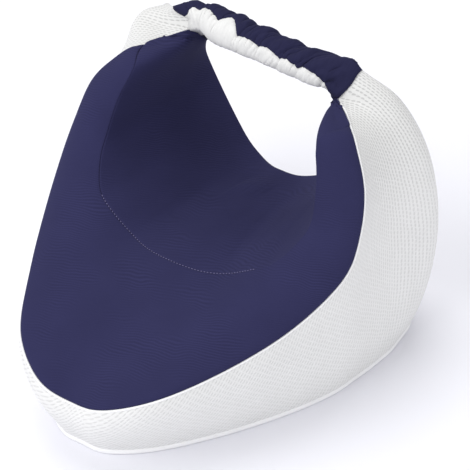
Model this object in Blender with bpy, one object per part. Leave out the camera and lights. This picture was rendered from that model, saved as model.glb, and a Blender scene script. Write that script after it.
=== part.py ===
"""Knee pillow: a foam saddle with two horns, cloth panels over it and a gathered strap.

The pillow stands on its flat base with its nose towards -Y and its horns up.
It is the same on both sides of the plane x = 0, apart from the strap.
Lengths in the tables are millimetres, and the objects are built in metres.
"""

import math

import bmesh
import bpy
from mathutils import Vector

MM = 0.001

# The tables count y from near the nose. The origin is under the pillow's middle.
MIDDLE_Y = 113.8

# Sizes of the cloth pieces
PANEL_THICKNESS = 1.5
GAP = 0.3
SEAM_INSET = 0.6
PANEL_LIFT = 0.75
BACK_INSET = 2.0
BASE_THICKNESS = 4.0
BASE_EDGE_RADIUS = 1.2
BASE_EDGE_SEGMENTS = 1

# Steps across each surface
STEPS_PER_STATION = 3
FRONT_STEPS = 5
CHANNEL_STEPS = 6
BACK_STEPS = 4
SIDE_STEPS = 8
HORN_END_STEPS = 4

# Crown of each padded face, at its middle
FRONT_CROWN = 5.0
BACK_CROWN = 1.5
HORN_END_CROWN = 3.0
HORN_UNDER_CROWN = 1.2

# The long seams run from the middle of the pillow, x = 0, to the tip of a horn.
# Every table has a row for each of the same eleven stations.
# The nose seam joins the front panel to the mesh side. Columns: x, y, z.
NOSE_SEAM = (
    (0.0, -4.0, 39.5),
    (23.0, -3.5, 44.5),
    (49.0, 15.0, 53.0),
    (71.0, 52.5, 61.0),
    (87.5, 88.5, 72.5),
    (98.0, 120.5, 90.5),
    (98.0, 136.0, 111.5),
    (93.0, 146.5, 134.5),
    (80.0, 156.5, 154.0),
    (71.5, 164.0, 157.5),
    (53.0, 184.0, 160.5),
)
# The rim seam joins the front panel to the channel panel. Columns: x, y, z.
# It meets the nose seam at station 9 and then runs on along it.
RIM_SEAM = (
    (0.0, 92.5, 75.0),
    (18.0, 95.0, 74.0),
    (33.0, 99.5, 75.5),
    (49.0, 102.0, 84.0),
    (60.5, 107.0, 91.0),
    (69.0, 119.0, 102.0),
    (72.0, 129.5, 113.5),
    (69.0, 138.0, 136.0),
    (63.5, 147.0, 155.5),
    (71.5, 164.0, 157.5),
    (53.0, 184.0, 160.5),
)
# The channel's back edge joins the channel panel to the back panel.
CHANNEL_END = (
    (0.0, 204.5, 70.5),
    (10.0, 206.0, 70.0),
    (19.0, 210.0, 71.0),
    (31.0, 214.0, 76.5),
    (45.0, 218.5, 89.0),
    (57.0, 221.5, 103.0),
    (62.5, 220.0, 116.0),
    (62.5, 215.0, 128.0),
    (58.5, 209.5, 139.5),
    (53.5, 205.0, 146.0),
    (48.0, 200.0, 150.5),
)
# The back seam joins the back panel to the mesh side.
BACK_SEAM = (
    (0.0, 231.5, 38.5),
    (15.5, 231.5, 39.0),
    (30.0, 231.5, 41.0),
    (44.5, 231.0, 44.5),
    (60.0, 229.5, 51.0),
    (78.0, 226.5, 67.0),
    (88.0, 221.5, 93.0),
    (90.0, 216.0, 118.0),
    (88.0, 209.0, 140.0),
    (80.0, 201.0, 160.5),
    (62.0, 197.0, 172.0),
)
# The foot is the outline of the base. Columns: x, y at the nose side, then
# how far the mesh side swells out and drops below the seam, and how far it
# swells out and rises above the foot.
NOSE_FOOT = (
    (0.0, 5.0, 6.0, 12.0, 6.0, 13.0),
    (16.5, 7.0, 6.0, 12.0, 7.0, 14.0),
    (38.5, 25.0, 6.0, 13.0, 7.0, 16.0),
    (62.5, 58.0, 5.0, 14.0, 7.0, 17.0),
    (82.0, 93.0, 3.0, 16.0, 7.0, 22.0),
    (93.5, 121.0, 2.0, 17.0, 7.0, 25.0),
    (97.0, 139.0, 3.0, 20.0, 8.0, 28.0),
    (99.0, 151.0, 6.0, 20.0, 9.0, 32.0),
    (100.5, 165.0, 20.0, 12.0, 11.0, 34.0),
    (101.0, 174.0, 30.0, 8.0, 13.0, 36.0),
    (100.0, 185.0, 60.0, -6.0, 18.0, 36.0),
)
# The same columns at the back.
BACK_FOOT = (
    (0.0, 229.0, 5.0, 10.0, 5.0, 12.0),
    (13.5, 229.0, 5.0, 10.0, 5.0, 12.0),
    (27.0, 228.5, 5.5, 10.0, 6.0, 13.0),
    (40.5, 227.5, 6.0, 11.0, 7.0, 14.0),
    (55.0, 225.5, 7.0, 12.0, 8.0, 16.0),
    (71.0, 221.5, 8.0, 16.0, 10.0, 20.0),
    (83.0, 216.5, 9.0, 24.0, 13.0, 27.0),
    (90.5, 210.5, 12.0, 30.0, 15.0, 30.0),
    (95.0, 205.0, 17.0, 35.0, 16.0, 34.0),
    (98.0, 200.0, 38.0, 39.0, 16.0, 36.0),
    (99.0, 195.0, 74.0, 32.0, 15.0, 36.0),
)
JOIN_STATION = 9
# The channel's cloth is drawn smooth over this many rows at each horn's tip.
TIP_ROWS = 5
TIP_ROUNDINGS = 6
# The mesh side is drawn even along its length this many times, behind the nose
# and below its seam.
SIDE_ROUNDINGS = 8
EVEN_FROM_Y = 125.0
EVEN_OVER_Y = 35.0
EVEN_BELOW_STEP = 3

# How far the channel panel swells between the rim seam and the channel's back
# edge. Columns: x, y, z.
CHANNEL_SWELL = (
    (0.0, 0.0, 2.0),
    (0.0, 0.0, 2.0),
    (-0.5, 0.0, 2.0),
    (-1.5, 0.0, 2.0),
    (-2.0, 0.0, 2.0),
    (-3.0, -0.5, 1.5),
    (-4.0, -1.0, 1.0),
    (-5.0, -2.0, 2.0),
    (-7.0, -4.0, 5.0),
    (-9.5, -4.0, 7.0),
    (-1.0, -1.0, -1.0),
)

# The strap's middle line from the left horn to the right one, with the half
# width and half thickness of its gathered tube, the tilt of its width, and
# the turn of its two side seams. Columns: x, y, z, half width, half
# thickness, tilt in degrees, turn in degrees.
STRAP = (
    (-52.0, 193.5, 163.0, 10.0, 8.5, 20.0, 112.0),
    (-42.0, 192.0, 168.5, 9.8, 8.4, 26.0, 108.0),
    (-28.0, 189.5, 170.0, 9.6, 7.6, 28.0, 94.0),
    (-14.0, 189.0, 169.5, 9.0, 7.0, 30.0, 76.0),
    (0.0, 189.0, 169.0, 8.8, 6.8, 30.0, 62.0),
    (14.0, 189.0, 168.0, 8.7, 6.8, 30.0, 54.0),
    (28.0, 189.5, 167.0, 8.8, 7.0, 28.0, 42.0),
    (42.0, 192.0, 165.0, 9.4, 8.0, 26.0, 22.0),
    (52.0, 193.5, 160.0, 10.0, 8.5, 20.0, 4.0),
)
STRAP_STEPS = 48
STRAP_SIDES = 18
STRAP_ROOT = 0.22
STRAP_ROOT_SIZE = 0.96
STRAP_GATHERS = 13.0
STRAP_GATHER_HEIGHT = 0.9
STRAP_GATHER_SLANT = 0.9


def smooth_run(rows, steps, mirror_first=False):
    """Points along a smooth curve through the rows, with even steps between rows."""
    rows = [list(row) for row in rows]
    if mirror_first:
        first = [-rows[1][0], *rows[1][1:]]
    else:
        first = [2 * a - b for a, b in zip(rows[0], rows[1])]
    last = [2 * a - b for a, b in zip(rows[-1], rows[-2])]
    ends = [first, *rows, last]
    found = []
    for index in range(1, len(ends) - 2):
        before, start, end, after = ends[index - 1 : index + 3]
        for step in range(steps):
            t = step / steps
            found.append([catmull(t, *four) for four in zip(before, start, end, after)])
    found.append(rows[-1])
    return found


def catmull(t, before, start, end, after):
    """One number of a Catmull-Rom curve between start and end."""
    return 0.5 * (
        2 * start
        + (end - before) * t
        + (2 * before - 5 * start + 4 * end - after) * t * t
        + (3 * start - before - 3 * end + after) * t**3
    )


def both_sides(run):
    """A run from the middle to the right horn, mirrored to start at the left horn."""
    left = [[-row[0], *row[1:]] for row in reversed(run[1:])]
    return left + run


def seam(table):
    run = smooth_run(table, STEPS_PER_STATION, mirror_first=True)
    return [Vector(row[:3]) for row in both_sides(run)]


def crowned(start, end, lift, count):
    """Points from start to end on a shallow arch, lifted at its middle."""
    points = []
    for index in range(count + 1):
        t = index / count
        points.append(start.lerp(end, t) + lift * (4 * t * (1 - t)))
    return points


def face_grid(first, second, crown, count):
    """Rows of points between two seams, crowned along the face's own normal."""
    grid = []
    last = len(first) - 1
    for index, (a, b) in enumerate(zip(first, second)):
        before, after = max(index - 1, 0), min(index + 1, last)
        along = (first[after] + second[after]) - (first[before] + second[before])
        normal = along.cross(b - a).normalized()
        near_end = min(index, last - index) / last
        grid.append(crowned(a, b, normal * crown * min(1.0, near_end * 6), count))
    return grid


def tip_edge(a, b, opposite, crown, count):
    """One rounded edge of a horn's flat tip, in the plane of its three corners."""
    middle = (a + b) / 2
    line = (b - a).normalized()
    away = middle - opposite
    away -= line * away.dot(line)
    return crowned(a, b, away.normalized() * crown, count)


def bezier(a, b, c, d, count):
    """Points of a cubic curve from a to d, with b and c as its handles."""
    points = []
    for index in range(count + 1):
        t = index / count
        s = 1 - t
        points.append(a * s**3 + b * (3 * s * s * t) + c * (3 * s * t * t) + d * t**3)
    return points


def side_grid(nose, back, horn_end):
    """Rows of points down the mesh side, once round the pillow from the nose."""
    tops, feet = [], []
    nose_rows = smooth_run(NOSE_FOOT, STEPS_PER_STATION, mirror_first=True)
    back_rows = smooth_run(BACK_FOOT, STEPS_PER_STATION, mirror_first=True)
    middle = len(nose) // 2
    for step, row in enumerate(nose_rows):
        tops.append(nose[middle + step])
        feet.append(row)
    for step in range(1, HORN_END_STEPS):
        t = step / HORN_END_STEPS
        tops.append(horn_end[step])
        feet.append([a + (b - a) * t for a, b in zip(nose_rows[-1], back_rows[-1])])
    for step in range(len(back_rows) - 1, -1, -1):
        tops.append(back[middle + step])
        feet.append(back_rows[step])
    mirror = Vector((-1, 1, 1))
    count = len(tops)
    for index in range(count - 2, 0, -1):
        tops.append(tops[index] * mirror)
        feet.append([-feet[index][0], *feet[index][1:]])
    grid = []
    total = len(tops)
    floor = BASE_THICKNESS + GAP
    for index in range(total):
        x, y, out, drop, foot_out, rise = feet[index]
        ahead, behind = feet[(index + 1) % total], feet[index - 1]
        outward = Vector((ahead[1] - behind[1], behind[0] - ahead[0], 0)).normalized()
        top = tops[index]
        foot = Vector((x, y, floor))
        upper = top + outward * out - Vector((0, 0, drop))
        lower = foot + outward * foot_out + Vector((0, 0, rise))
        grid.append(bezier(top, upper, lower, foot, SIDE_STEPS))
    for _ in range(SIDE_ROUNDINGS):
        grid = evened(grid)
    return grid


def evened(grid):
    """The mesh side with its points behind the nose drawn towards their neighbours."""
    total = len(grid)
    found = []
    for index, row in enumerate(grid):
        before, after = grid[index - 1], grid[(index + 1) % total]
        behind = min(1.0, max(0.0, (row[-1].y - EVEN_FROM_Y) / EVEN_OVER_Y))
        drawn = [row[0]]
        for step in range(1, len(row) - 1):
            share = behind * min(1.0, step / EVEN_BELOW_STEP)
            middle = (before[step] + after[step]) / 2
            drawn.append(row[step].lerp(middle, share / 2))
        found.append([*drawn, row[-1]])
    return found


def add_grid(bm, grid, closed=False):
    """Adds a grid of points to bm, as two triangles for each of its cells."""
    rows = [[bm.verts.new(point * MM) for point in row] for row in grid]
    pairs = list(zip(rows, rows[1:] + rows[:1])) if closed else list(zip(rows, rows[1:]))
    for one, two in pairs:
        for index in range(len(one) - 1):
            a, b, c, d = one[index], two[index], two[index + 1], one[index + 1]
            bm.faces.new((a, b, c))
            bm.faces.new((a, c, d))
    return rows


def finish(name, bm, colour, roughness, smooth_angle=50):
    """Makes the object about the origin and gives it a material."""
    bmesh.ops.translate(bm, verts=bm.verts, vec=(0, -MIDDLE_Y * MM, 0))
    bmesh.ops.recalc_face_normals(bm, faces=bm.faces)
    if bm.calc_volume(signed=True) < 0:
        bmesh.ops.reverse_faces(bm, faces=bm.faces)
    mesh = bpy.data.meshes.new(name)
    bm.to_mesh(mesh)
    bm.free()
    mesh.shade_smooth()
    mesh.set_sharp_from_angle(angle=math.radians(smooth_angle))
    material = bpy.data.materials.new(name)
    material.use_nodes = True
    shader = material.node_tree.nodes["Principled BSDF"]
    shader.inputs["Base Color"].default_value = (*colour, 1)
    shader.inputs["Roughness"].default_value = roughness
    shader.inputs["Metallic"].default_value = 0
    mesh.materials.append(material)
    obj = bpy.data.objects.new(name, mesh)
    bpy.context.scene.collection.objects.link(obj)
    return obj


def cloth_grids():
    """The point grids of the front, channel, back and side faces."""
    nose, rim = seam(NOSE_SEAM), seam(RIM_SEAM)
    channel_end, back = seam(CHANNEL_END), seam(BACK_SEAM)
    swell = seam(CHANNEL_SWELL)
    join = JOIN_STATION * STEPS_PER_STATION
    middle = len(nose) // 2
    for step in range(join, middle + 1):
        for index in (middle - step, middle + step):
            rim[index] = nose[index].copy()
    part = slice(middle - join, middle + join + 1)
    front = face_grid(nose[part], rim[part], FRONT_CROWN, FRONT_STEPS)
    channel = [crowned(*row, CHANNEL_STEPS) for row in zip(rim, channel_end, swell)]
    rear = face_grid(channel_end, back, BACK_CROWN, BACK_STEPS)
    for end in (0, -1):
        first, low, top = nose[end], channel_end[end], back[end]
        channel[end] = tip_edge(first, low, top, HORN_UNDER_CROWN, CHANNEL_STEPS)
        rear[end] = tip_edge(low, top, first, HORN_END_CROWN, BACK_STEPS)
        tip = tip_edge(first, top, low, HORN_END_CROWN, HORN_END_STEPS)
    side = side_grid(nose, back, tip)
    return front, channel, rear, side, tip


def build_cushion(grids):
    """The filled cushion, whose bare side is the mesh fabric."""
    front, channel, rear, side = grids
    bm = bmesh.new()
    add_grid(bm, front)
    add_grid(bm, channel)
    add_grid(bm, rear)
    add_grid(bm, side, closed=True)
    bmesh.ops.remove_doubles(bm, verts=bm.verts, dist=0.02 * MM)
    bmesh.ops.dissolve_degenerate(bm, dist=0.01 * MM, edges=bm.edges)
    before = [v.co / MM for v in bm.verts]
    ends = channel[1:TIP_ROWS] + channel[-TIP_ROWS:-1]
    drawn = [spot for row in ends for spot in row[1:-1]]
    tips = [v for v in bm.verts if any((v.co / MM - p).length < GAP / 2 for p in drawn)]
    for _ in range(TIP_ROUNDINGS):
        bmesh.ops.smooth_vert(
            bm, verts=tips, factor=0.5, use_axis_x=True, use_axis_y=True, use_axis_z=True
        )
    bmesh.ops.recalc_face_normals(bm, faces=bm.faces)
    bm.normal_update()
    skin = [(old, v.co / MM, v.normal.copy()) for old, v in zip(before, bm.verts)]
    open_edges = [edge for edge in bm.edges if edge.is_boundary]
    bmesh.ops.holes_fill(bm, edges=open_edges, sides=0)
    finish("cushion", bm, (0.86, 0.87, 0.87), 0.9)
    return skin


def moved(point, towards, inset):
    """The point, moved a little towards its neighbour in the panel."""
    way = towards - point
    return point + way.normalized() * inset if way.length > 2 * inset else point


def build_panel(name, flat_grid, skin, colour, outer_inset=SEAM_INSET):
    """A cloth panel laid over one face of the cushion, clear of it by the gap."""
    inner, outer = [], []
    grid, normals = [], []
    for row in flat_grid:
        found = [min(skin, key=lambda spot: (spot[0] - p).length_squared) for p in row]
        grid.append([spot[1] for spot in found])
        normals.append([spot[2] for spot in found])
    last_row, last = len(grid) - 1, len(grid[0]) - 1
    for i, row in enumerate(grid):
        low, high = [], []
        for j, point in enumerate(row):
            normal = normals[i][j]
            near_i = min(max(i, 1), last_row - 1)
            near_j = min(max(j, 1), last - 1)
            place = moved(point, row[near_j], outer_inset if j == last else SEAM_INSET)
            place = moved(place, place + grid[near_i][j] - point, SEAM_INSET)
            low.append(place + normal * PANEL_LIFT)
            high.append(place + normal * (PANEL_LIFT + PANEL_THICKNESS))
        inner.append(low)
        outer.append(high)
    bm = bmesh.new()
    add_grid(bm, inner)
    add_grid(bm, outer)
    bmesh.ops.remove_doubles(bm, verts=bm.verts, dist=0.02 * MM)
    bmesh.ops.dissolve_degenerate(bm, dist=0.01 * MM, edges=bm.edges)
    edges = [edge for edge in bm.edges if edge.is_boundary]
    bmesh.ops.bridge_loops(bm, edges=edges)
    finish(name, bm, colour, 0.85)


def build_base(side):
    """The base panel, a thin plate with a rounded edge under the cushion."""
    bm = bmesh.new()
    ring = [bm.verts.new((row[-1].x * MM, row[-1].y * MM, 0)) for row in side]
    base = bm.faces.new(ring)
    made = bmesh.ops.extrude_face_region(bm, geom=[base])
    top = [item for item in made["geom"] if isinstance(item, bmesh.types.BMVert)]
    bmesh.ops.translate(bm, verts=top, vec=(0, 0, BASE_THICKNESS * MM))
    flat = [edge for edge in bm.edges if edge.verts[0].co.z == edge.verts[1].co.z]
    bmesh.ops.bevel(
        bm,
        geom=flat,
        offset=BASE_EDGE_RADIUS * MM,
        segments=BASE_EDGE_SEGMENTS,
        profile=0.5,
        affect="EDGES",
        material=-1,
    )
    finish("base_panel", bm, (0.88, 0.88, 0.88), 0.85)


def strap_frame(row, ahead):
    """Width and thickness directions of the strap at one row."""
    along = (Vector(ahead[1][:3]) - Vector(ahead[0][:3])).normalized()
    tilt = math.radians(row[5])
    width = Vector((0, math.cos(tilt), math.sin(tilt)))
    width = (width - along * width.dot(along)).normalized()
    return width, along.cross(width).normalized()


def tip_reach(loop, centre, way):
    """How far the flat tip reaches from its centre in one direction."""
    reach = 0.0
    for a, b in zip(loop, loop[1:] + loop[:1]):
        normal = (b - a).normalized()
        across = (a - centre) - normal * (a - centre).dot(normal)
        if across.length < 1e-6 or way.dot(across) <= 0:
            continue
        far = across.length_squared / way.dot(across)
        spot = centre + way * far
        if -1e-4 <= (spot - a).dot(normal) <= (b - a).length + 1e-4:
            reach = far
    return reach


def strap_loops(tip_loop):
    """The strap's sections from the left horn to the right one, each a ring of
    points and then its middle."""
    steps = STRAP_STEPS // (len(STRAP) - 1)
    rows = smooth_run(STRAP, steps)
    last = len(rows) - 1
    right_tip = tip_loop
    left_tip = [Vector((-spot.x, spot.y, spot.z)) for spot in tip_loop]
    ends = []
    for loop in (left_tip, right_tip):
        centre = sum(loop, Vector()) / len(loop)
        normal = (loop[0] - centre).cross(loop[len(loop) // 3] - centre).normalized()
        if normal.z < 0:
            normal = -normal
        ends.append((loop, centre, normal))
    sections = []
    for index, row in enumerate(rows):
        t = index / last
        around = rows[max(index - 1, 0)], rows[min(index + 1, last)]
        width, thick = strap_frame(row, around)
        centre = Vector(row[:3])
        tip, tip_centre, tip_normal = ends[0] if t < 0.5 else ends[1]
        near = min(t, 1 - t) / STRAP_ROOT
        blend = 1.0 if near >= 1 else near * near * (3 - 2 * near)
        tip_width = (width - tip_normal * width.dot(tip_normal)).normalized()
        tip_thick = thick - tip_normal * thick.dot(tip_normal)
        tip_thick = (tip_thick - tip_width * tip_thick.dot(tip_width)).normalized()
        rise = (centre - tip_centre).length * (1 if near > 0 else 0)
        section = []
        for corner in range(STRAP_SIDES):
            angle = math.radians(row[6]) + 2 * math.pi * corner / STRAP_SIDES
            wave = 2 * math.pi * STRAP_GATHERS * t + STRAP_GATHER_SLANT * math.cos(angle)
            swell = blend * STRAP_GATHER_HEIGHT * math.sin(wave)
            spot = centre - width * (math.cos(angle) * (row[3] + swell))
            spot += thick * (math.sin(angle) * (row[4] + swell))
            if blend < 1:
                way = tip_thick * math.sin(angle) - tip_width * math.cos(angle)
                reach = tip_reach(tip, tip_centre, way) * STRAP_ROOT_SIZE
                root = tip_centre + way * reach + tip_normal * (GAP + rise)
                spot = root.lerp(spot, blend)
            section.append(spot)
        root = tip_centre + tip_normal * (GAP + rise)
        section.append(root.lerp(centre, blend))
        sections.append(section)
    return sections


def strap_half(name, sections, side, colour):
    """One cloth half of the gathered strap, from side seam to side seam."""
    bm = bmesh.new()
    loops = []
    half = STRAP_SIDES // 2
    for section in sections:
        *ring, middle = section
        out = (ring[half // 2] - ring[half // 2 + half]).normalized() * (side * GAP / 2)
        spots = [ring[side * corner % STRAP_SIDES] for corner in range(half + 1)]
        loops.append([bm.verts.new((spot + out) * MM) for spot in (*spots, middle)])
    for one, two in zip(loops, loops[1:]):
        count = len(one)
        for corner in range(count):
            after = (corner + 1) % count
            bm.faces.new((one[corner], one[after], two[after]))
            bm.faces.new((one[corner], two[after], two[corner]))
    bm.faces.new(loops[0])
    bm.faces.new(loops[-1])
    finish(name, bm, colour, 0.85, smooth_angle=60)


def main():
    for obj in list(bpy.data.objects):
        bpy.data.objects.remove(obj, do_unlink=True)
    navy, white = (0.035, 0.035, 0.12), (0.86, 0.87, 0.87)
    *grids, tip = cloth_grids()
    front, channel, rear, side = grids
    skin = build_cushion(grids)
    build_panel("front_panel", front, skin, navy)
    build_panel("channel_panel", channel, skin, navy)
    build_panel("back_panel", rear, skin, navy, BACK_INSET)
    build_base(side)
    tip_loop = channel[-1][:-1] + rear[-1][:-1] + tip[:0:-1]
    sections = strap_loops(tip_loop)
    strap_half("strap_outer", sections, 1, navy)
    strap_half("strap_inner", sections, -1, white)


main()
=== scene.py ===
import functools
import math

import bmesh
import bpy
import numpy as np
from bpy.props import FloatProperty, FloatVectorProperty, PointerProperty
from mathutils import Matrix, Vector, noise
from mathutils.kdtree import KDTree


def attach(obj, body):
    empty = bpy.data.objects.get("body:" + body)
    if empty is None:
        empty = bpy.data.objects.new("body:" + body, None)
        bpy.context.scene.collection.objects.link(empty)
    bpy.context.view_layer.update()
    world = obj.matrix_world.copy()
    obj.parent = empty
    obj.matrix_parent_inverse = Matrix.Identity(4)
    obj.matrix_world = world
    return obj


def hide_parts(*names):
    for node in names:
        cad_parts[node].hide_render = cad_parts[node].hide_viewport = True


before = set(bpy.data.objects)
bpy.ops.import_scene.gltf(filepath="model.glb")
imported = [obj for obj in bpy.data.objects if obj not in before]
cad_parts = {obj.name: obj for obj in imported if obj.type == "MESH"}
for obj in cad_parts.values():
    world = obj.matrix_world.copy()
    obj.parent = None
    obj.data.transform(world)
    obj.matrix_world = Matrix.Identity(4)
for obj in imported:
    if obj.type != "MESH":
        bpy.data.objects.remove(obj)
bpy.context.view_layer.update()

bl_info = {
    "name": "Knee pillow",
    "version": (1, 0, 0),
    "blender": (4, 5, 0),
    "location": "3D View > Sidebar > Pillow",
    "description": "Builds a foam knee pillow with its cloth panels, seams and gathered strap",
    "category": "Object",
}

MM = 0.001
MIDDLE_Y = 113.8
GAP = 0.3
BASE_THICKNESS = 4.0

# Steps of the first, coarse point grids, and how much finer the cloth is drawn
STEPS_PER_STATION = 3
FRONT_STEPS = 5
CHANNEL_STEPS = 6
BACK_STEPS = 4
SIDE_STEPS = 8
HORN_END_STEPS = 4
FINER_ALONG = 6
FINER_ACROSS = 6

# Crown of each padded face, at its middle, in millimetres
FRONT_CROWN = 5.0
BACK_CROWN = 1.5
HORN_END_CROWN = 3.0
HORN_UNDER_CROWN = 1.2

# The tables are in millimetres, with y counted from near the nose.
# The long seams run from the middle of the pillow, x = 0, to the tip of a horn.
# The nose seam joins the front panel to the mesh side. Columns: x, y, z.
NOSE_SEAM = (
    (0.0, -4.0, 39.5),
    (23.0, -3.5, 44.5),
    (49.0, 15.0, 53.0),
    (71.0, 52.5, 61.0),
    (87.5, 88.5, 72.5),
    (98.0, 120.5, 90.5),
    (98.0, 136.0, 111.5),
    (93.0, 146.5, 134.5),
    (80.0, 156.5, 154.0),
    (71.5, 164.0, 157.5),
    (53.0, 184.0, 160.5),
)
# The rim seam joins the front panel to the channel panel, and meets the nose
# seam at the join station. Columns: x, y, z.
RIM_SEAM = (
    (0.0, 92.5, 75.0),
    (18.0, 95.0, 74.0),
    (33.0, 99.5, 75.5),
    (49.0, 102.0, 84.0),
    (60.5, 107.0, 91.0),
    (69.0, 119.0, 102.0),
    (72.0, 129.5, 113.5),
    (69.0, 138.0, 136.0),
    (63.5, 147.0, 155.5),
    (71.5, 164.0, 157.5),
    (53.0, 184.0, 160.5),
)
JOIN_STATION = 9
# The channel's back edge joins the channel panel to the back panel.
CHANNEL_END = (
    (0.0, 204.5, 70.5),
    (10.0, 206.0, 70.0),
    (19.0, 210.0, 71.0),
    (31.0, 214.0, 76.5),
    (45.0, 218.5, 89.0),
    (57.0, 221.5, 103.0),
    (62.5, 220.0, 116.0),
    (62.5, 215.0, 128.0),
    (58.5, 209.5, 139.5),
    (53.5, 205.0, 146.0),
    (48.0, 200.0, 150.5),
)
# The back seam joins the back panel to the mesh side.
BACK_SEAM = (
    (0.0, 231.5, 38.5),
    (15.5, 231.5, 39.0),
    (30.0, 231.5, 41.0),
    (44.5, 231.0, 44.5),
    (60.0, 229.5, 51.0),
    (78.0, 226.5, 67.0),
    (88.0, 221.5, 93.0),
    (90.0, 216.0, 118.0),
    (88.0, 209.0, 140.0),
    (80.0, 201.0, 160.5),
    (62.0, 197.0, 172.0),
)
# The foot is the outline of the base. Columns: x, y at the nose side, then how
# far the mesh side swells out and drops below the seam, and how far it swells
# out and rises above the foot.
NOSE_FOOT = (
    (0.0, 5.0, 6.0, 12.0, 6.0, 13.0),
    (16.5, 7.0, 6.0, 12.0, 7.0, 14.0),
    (38.5, 25.0, 6.0, 13.0, 7.0, 16.0),
    (62.5, 58.0, 5.0, 14.0, 7.0, 17.0),
    (82.0, 93.0, 3.0, 16.0, 7.0, 22.0),
    (93.5, 121.0, 2.0, 17.0, 7.0, 25.0),
    (97.0, 139.0, 3.0, 20.0, 8.0, 28.0),
    (99.0, 151.0, 6.0, 20.0, 9.0, 32.0),
    (100.5, 165.0, 20.0, 12.0, 11.0, 34.0),
    (101.0, 174.0, 30.0, 8.0, 13.0, 36.0),
    (100.0, 185.0, 60.0, -6.0, 18.0, 36.0),
)
# The same columns at the back.
BACK_FOOT = (
    (0.0, 229.0, 5.0, 10.0, 5.0, 12.0),
    (13.5, 229.0, 5.0, 10.0, 5.0, 12.0),
    (27.0, 228.5, 5.5, 10.0, 6.0, 13.0),
    (40.5, 227.5, 6.0, 11.0, 7.0, 14.0),
    (55.0, 225.5, 7.0, 12.0, 8.0, 16.0),
    (71.0, 221.5, 8.0, 16.0, 10.0, 20.0),
    (83.0, 216.5, 9.0, 24.0, 13.0, 27.0),
    (90.5, 210.5, 12.0, 30.0, 15.0, 30.0),
    (95.0, 205.0, 17.0, 35.0, 16.0, 34.0),
    (98.0, 200.0, 38.0, 39.0, 16.0, 36.0),
    (99.0, 195.0, 74.0, 32.0, 15.0, 36.0),
)
# How far the channel panel swells between its two seams. Columns: x, y, z.
CHANNEL_SWELL = (
    (0.0, 0.0, 2.0),
    (0.0, 0.0, 2.0),
    (-0.5, 0.0, 2.0),
    (-1.5, 0.0, 2.0),
    (-2.0, 0.0, 2.0),
    (-3.0, -0.5, 1.5),
    (-4.0, -1.0, 1.0),
    (-5.0, -2.0, 2.0),
    (-7.0, -4.0, 5.0),
    (-9.5, -4.0, 7.0),
    (-1.0, -1.0, -1.0),
)
# Rounding of the lining at the horns' tips, and of the mesh side behind the nose
TIP_ROWS = 5
TIP_ROUNDINGS = 6
SIDE_ROUNDINGS = 8
EVEN_FROM_Y = 125.0
EVEN_OVER_Y = 35.0
EVEN_BELOW_STEP = 3
# A face's crown fades out over one part in this many of its length
CROWN_FADE = 6

# Points this close are merged, and an edge this short is taken out, in millimetres
MERGE = 0.02
SHORT_EDGE = 0.01
# How far past an edge of a horn's tip it is still met, in millimetres
TIP_SLACK = 1e-4
# Distances in metres and lengths of ways that count as none
NO_DISTANCE = 1e-9
NO_WAY = 1e-12

# The strap's middle line from the left horn to the right one. Columns: x, y, z,
# half width, half thickness, tilt of its width and turn of its side seams.
STRAP = (
    (-52.0, 194.5, 164.4, 8.2, 6.9, 20.0, 112.0),
    (-42.0, 192.0, 167.5, 9.4, 8.0, 26.0, 108.0),
    (-28.0, 189.5, 170.0, 9.6, 7.6, 28.0, 94.0),
    (-14.0, 189.0, 169.5, 9.0, 7.0, 30.0, 76.0),
    (0.0, 189.0, 169.0, 8.8, 6.8, 30.0, 62.0),
    (14.0, 189.0, 168.0, 8.7, 6.8, 30.0, 54.0),
    (28.0, 189.5, 167.0, 8.8, 7.0, 28.0, 42.0),
    (42.0, 192.0, 165.0, 9.4, 8.0, 26.0, 22.0),
    (52.0, 193.5, 160.0, 10.0, 8.5, 20.0, 4.0),
)
# Rows along the strap, and columns round each half of it
STRAP_STEPS = 280
STRAP_SIDES = 34
# The strap's roots on the horns' tips, and its thicker neck at the right one.
# Reaches are shares of its length, turns are in degrees and angles in radians.
STRAP_ROOT = 0.22
STRAP_ROOT_SIZE = 0.985
STRAP_ROOT_SINK = 0.8
FOLD_FADE = 2.6
SEAM_TUCK = 1.2
SEAM_TUCK_ANGLE = 0.14
LEFT_ROOT_TURN = -30.0
RIGHT_ROOT_TURN = -55.0
ROOT_TURN_FADE = 4
NECK_TURN = -32.0
NECK_ANGLE = 0.5
NECK_REACH = 0.25
NECK_OUT = 3.0
NAVY_SLANT = 0.075
WHITE_SLANT = 0.012

# Soft folds in the cloth. Columns: middle x, y, z, the fold's way x, y, z, its
# half length, half width and height, where a valley has a height below nought.
FOLDS = (
    (-9.0, 172.0, 73.0, 0.18, 0.98, 0.0, 15.0, 1.3, 1.0),
    (-6.0, 175.0, 73.0, 0.18, 0.98, 0.0, 17.0, 1.2, 1.1),
    (-3.0, 178.0, 73.0, 0.18, 0.98, 0.0, 18.0, 1.2, 1.2),
    (0.0, 180.0, 73.0, 0.18, 0.98, 0.0, 18.0, 1.2, 1.1),
    (3.0, 183.0, 73.0, 0.18, 0.98, 0.0, 16.0, 1.2, 1.0),
    (6.5, 187.0, 73.0, 0.18, 0.98, 0.0, 12.0, 1.3, 0.8),
    (66.0, 160.0, 153.0, 0.5, -0.5, -0.7, 9.0, 1.8, -0.8),
    (62.0, 166.0, 150.0, 0.5, -0.5, -0.7, 9.0, 1.8, 0.6),
    (-66.0, 160.0, 153.0, -0.5, -0.5, -0.7, 9.0, 1.8, -0.6),
)
# The lining's bulge at the right horn's tip, in the same columns
NECK_BULGE = ((51.0, 187.5, 156.5, 0.2, 0.8, -0.55, 7.0, 6.0, 2.6),)

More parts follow.
